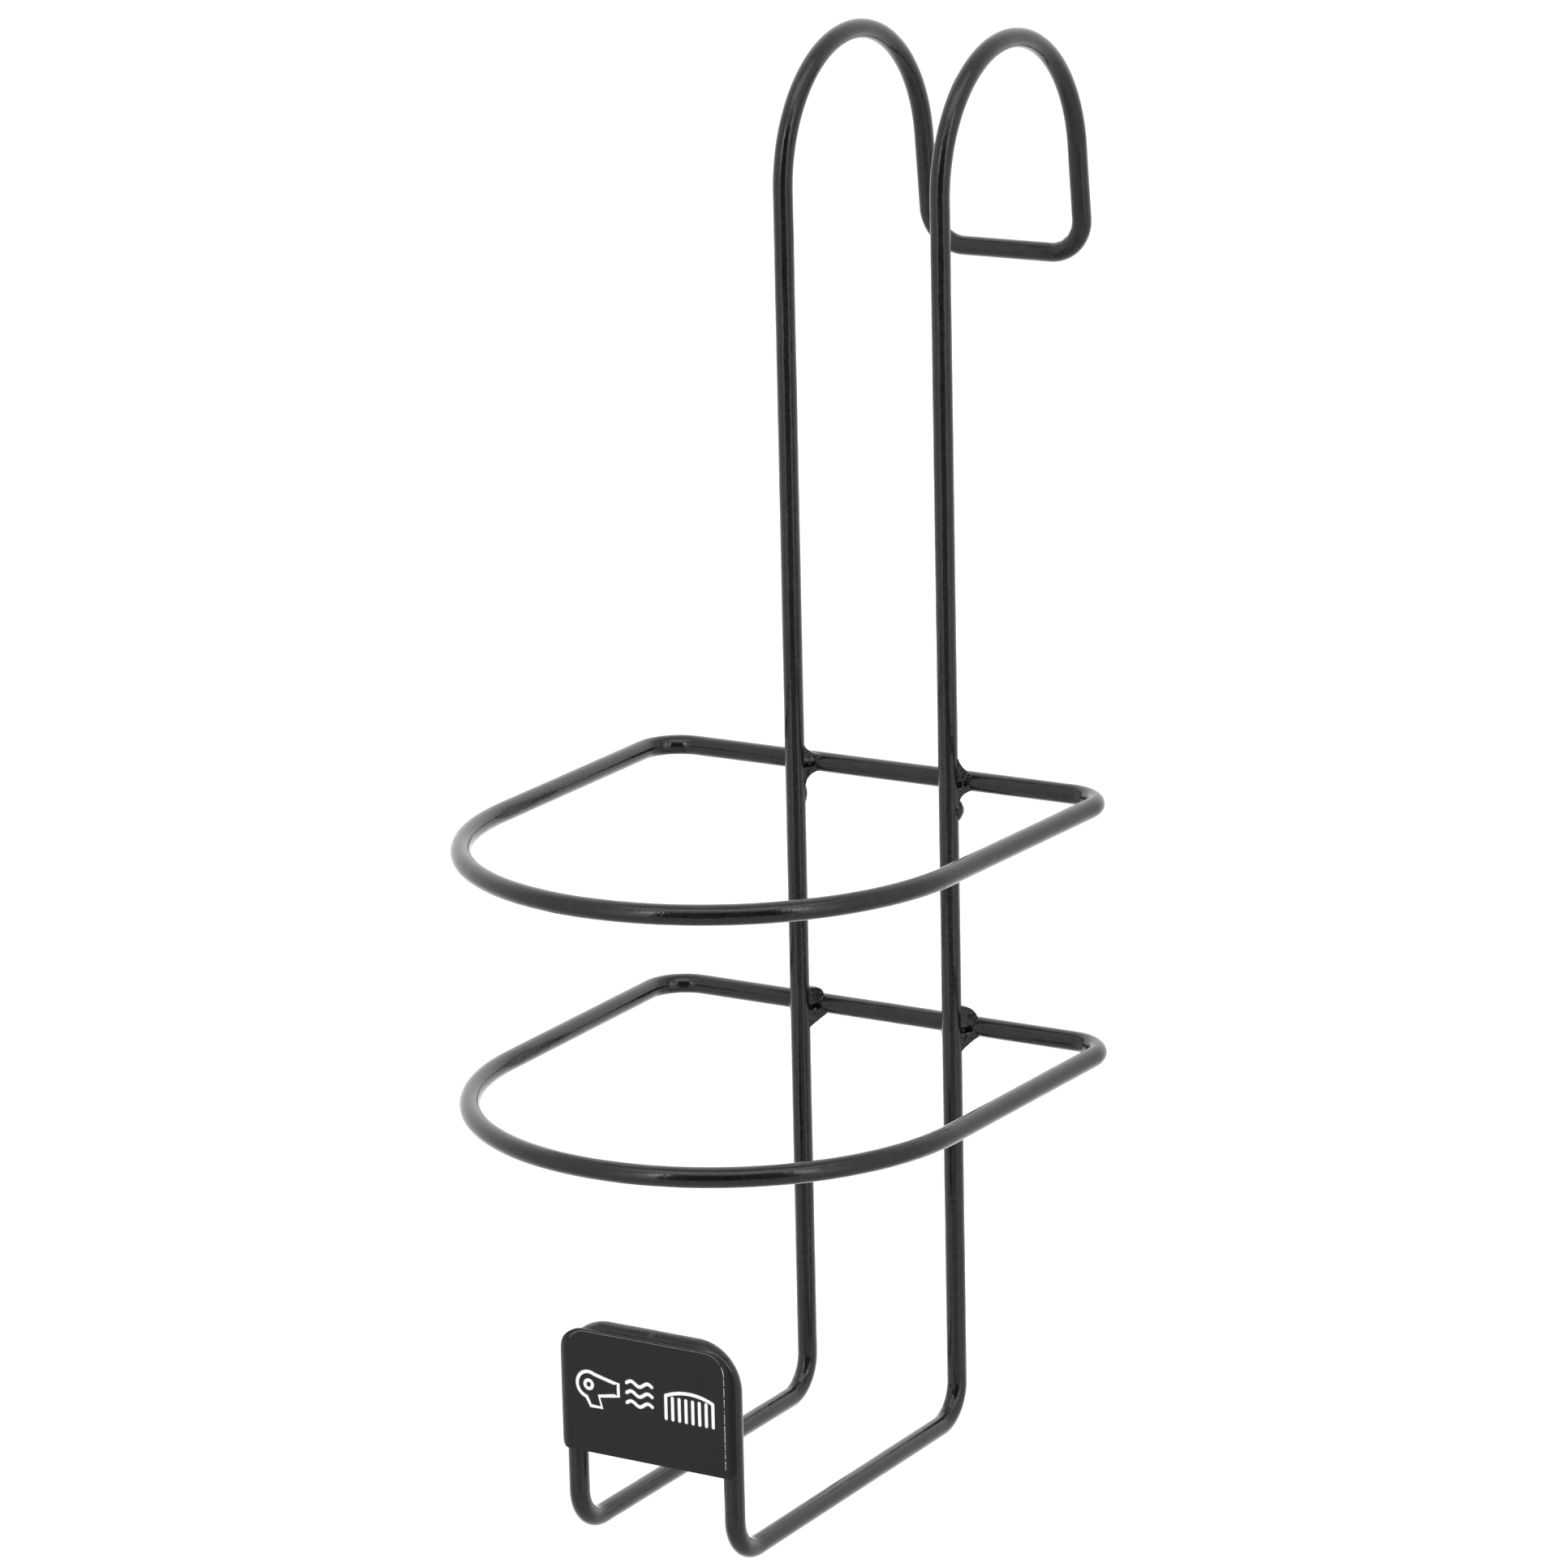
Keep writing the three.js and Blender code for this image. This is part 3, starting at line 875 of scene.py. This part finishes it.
def make_painted_highlights():
    """Painted highlights: thin bright lines along the plate's top edge, round its corners and down the
    right-hand crease, where light catches them.
    """
    draw = random.Random(5)
    crease = RAIL_X / MM
    height = (PLATE_HIGH[2] - PLATE_LOW[2]) / MM
    top = PRINT_DROP * height - 0.42
    bottom = PRINT_DROP * height - height + 2
    corner = 5.0
    edge, creases = [], []
    for side in (-1, 1):
        start = 0 if side > 0 else 180
        centre = (side * (crease - corner), top - corner)
        edge.append(arc_points(centre, corner, start + side * 35, 90, 8))
        # Only the right-hand crease, which faces the light, gets painted highlight dashes.
        if side > 0:
            creases.append(arc_points(centre, corner, start, start + 28, 4))
            creases += dashes(draw, crease, top - corner - 0.4, bottom)
    edge.append([(-crease + corner, top), (0, top), (crease - corner, top)])
    # Painted highlight along the top edge and round its corners, and painted highlight dashes down the
    # crease.
    piece("plate_painted_edge_highlight", stroke_mesh(edge, 0.1 * MM, 0.02 * MM), PAINTED_EDGE_HIGHLIGHT, "coated_plate")
    piece("plate_painted_crease_highlight", stroke_mesh(creases, 0.085 * MM, 0.03 * MM), PAINTED_CREASE_HIGHLIGHT, "coated_plate")


# ---------------------------------------------------------------- stage

FLOOR_Z = -1.2
FLOOR_HALF_SIZE = 30.0


def make_stage():
    """A pale floor far below the hanging part. It isn't mirrored in the gloss, as the room already is."""
    half = FLOOR_HALF_SIZE
    square = ((-half, -half), (half, -half), (half, half), (-half, half))
    corners = [(x, y, FLOOR_Z) for x, y in square]
    floor = bpy.data.objects.new("floor", mesh_from(corners, [(0, 1, 2, 3)]))
    bpy.context.scene.collection.objects.link(floor)
    material, _, shader = nodes_of("pale_floor")
    shader.inputs["Base Color"].default_value = (0.92, 0.92, 0.92, 1)
    shader.inputs["Roughness"].default_value = 0.9
    floor.data.materials.append(material)
    floor.visible_glossy = False


def math_node(tree, operation, *values):
    """The result of a Math node, whose inputs are numbers or other nodes' outputs."""
    node = tree.nodes.new("ShaderNodeMath")
    node.operation = operation
    for socket, value in zip(node.inputs, values):
        if isinstance(value, (int, float)):
            socket.default_value = value
        else:
            tree.links.new(value, socket)
    return node.outputs["Value"]


def level_ramp(tree, value, low, levels):
    """Brightness read off a list of (place, level), for a value that starts at low and ends at 1."""
    node = tree.nodes.new("ShaderNodeValToRGB")
    ramp = node.color_ramp
    top = max(level for _, level in levels)
    for place, _ in levels[1:-1]:
        ramp.elements.new((place - low) / (1 - low))
    for element, (_, level) in zip(ramp.elements, levels):
        element.color = (level / top, level / top, level / top, 1)
    tree.links.new(map_node(tree, value, low, 1.0, 0.0, 1.0), node.inputs["Fac"])
    return math_node(tree, "MULTIPLY", node.outputs["Color"], top)


def room_level(tree, away, turn, up):
    """Level of the white room in one direction: backdrop, dark strip with bright rims, and softbox."""
    level = level_ramp(tree, up, -1.0, ROOM_LEVELS)
    behind = map_node(tree, away, *BACKDROP_AWAY, 0.0, 1.0)
    gain = math_node(tree, "MULTIPLY_ADD", behind, level_ramp(tree, up, -1.0, BACKDROP_GAINS), 1.0)
    level = math_node(tree, "MULTIPLY", level, gain)

    foot = map_node(tree, up, *STRIP_FOOT, 0.0, 1.0)
    strip = level_ramp(tree, turn, 0.0, STRIP_LEVELS)
    weight = math_node(tree, "MULTIPLY", map_node(tree, up, *STRIP_TOP, 1.0, 0.0), foot)
    strip = math_node(tree, "MULTIPLY_ADD", math_node(tree, "SUBTRACT", strip, 1.0), weight, 1.0)
    level = math_node(tree, "MULTIPLY", level, strip)
    rim = math_node(
        tree, "MULTIPLY", map_node(tree, up, *RIM_RISE), map_node(tree, up, *RIM_TOP, 1.0, 0.0))
    rim = math_node(tree, "MULTIPLY", rim, foot)
    level = math_node(tree, "MULTIPLY_ADD", rim, level_ramp(tree, turn, 0.0, RIM_LEVELS), level)

    below = map_node(tree, up, *SOFTBOX_HIGH, 1.0, 0.0)
    box = math_node(tree, "MULTIPLY", map_node(tree, up, *SOFTBOX_LOW, 0.0, 1.0), below)
    box = math_node(tree, "MULTIPLY", box, map_node(tree, turn, *SOFTBOX_TURN, 0.0, 1.0))
    return math_node(tree, "MULTIPLY_ADD", box, SOFTBOX_LEVEL, level)


def studio_directions(tree):
    """Each direction's away, turn and up, as the light settings describe them."""
    direction = tree.nodes.new("ShaderNodeTexCoord").outputs["Generated"]
    turned = tree.nodes.new("ShaderNodeVectorRotate")
    turned.rotation_type = "Z_AXIS"
    turned.inputs["Angle"].default_value = -CAMERA_AZIMUTH
    tree.links.new(direction, turned.inputs["Vector"])
    parts = tree.nodes.new("ShaderNodeSeparateXYZ")
    tree.links.new(turned.outputs["Vector"], parts.inputs["Vector"])
    across, away, up = parts.outputs
    away_squared = math_node(tree, "MULTIPLY_ADD", away, away, 0.0001)
    flat = math_node(tree, "SQRT", math_node(tree, "MULTIPLY_ADD", across, across, away_squared))
    turn = math_node(tree, "DIVIDE", math_node(tree, "MULTIPLY", away, -1.0), flat)
    return away, turn, up


def make_light():
    """A white room of soft light, plain white where the camera looks straight into it."""
    world = bpy.data.worlds.new("studio")
    bpy.context.scene.world = world
    world.use_nodes = True
    tree = world.node_tree
    level = room_level(tree, *studio_directions(tree))

    seen = tree.nodes.new("ShaderNodeLightPath").outputs["Is Camera Ray"]
    mix = tree.nodes.new("ShaderNodeMix")
    tree.links.new(seen, mix.inputs["Factor"])
    tree.links.new(level, mix.inputs["A"])
    mix.inputs["B"].default_value = 1.0
    background = tree.nodes["Background"]
    background.inputs["Color"].default_value = (1, 1, 1, 1)
    tree.links.new(mix.outputs["Result"], background.inputs["Strength"])


# ---------------------------------------------------------------- camera


def make_camera():
    """The photo's camera: it looks at AIM from the front right, a little above."""
    sine, cosine = math.sin(CAMERA_AZIMUTH), math.cos(CAMERA_AZIMUTH)
    level = math.cos(CAMERA_ELEVATION)
    back = Vector((sine * level, -cosine * level, math.sin(CAMERA_ELEVATION)))
    right = Vector((cosine, sine, 0))
    up = back.cross(right)
    rolled_right = right * math.cos(CAMERA_ROLL) + up * math.sin(CAMERA_ROLL)
    rolled_up = back.cross(rolled_right)
    data = bpy.data.cameras.new("camera")
    data.lens = CAMERA_LENS
    data.sensor_width = CAMERA_SENSOR
    data.clip_end = 100
    camera = bpy.data.objects.new("camera", data)
    place = Matrix((rolled_right, rolled_up, back)).transposed().to_4x4()
    place.translation = Vector(AIM) + back * CAMERA_DISTANCE
    camera.matrix_world = place
    bpy.context.scene.collection.objects.link(camera)
    bpy.context.scene.camera = camera


make_camera()
make_stage()
make_light()
make_wires()
make_ring_welds()
make_tack_welds()
make_plate()
make_print()
make_painted_highlights()
bpy.context.scene.view_settings.view_transform = "Standard"
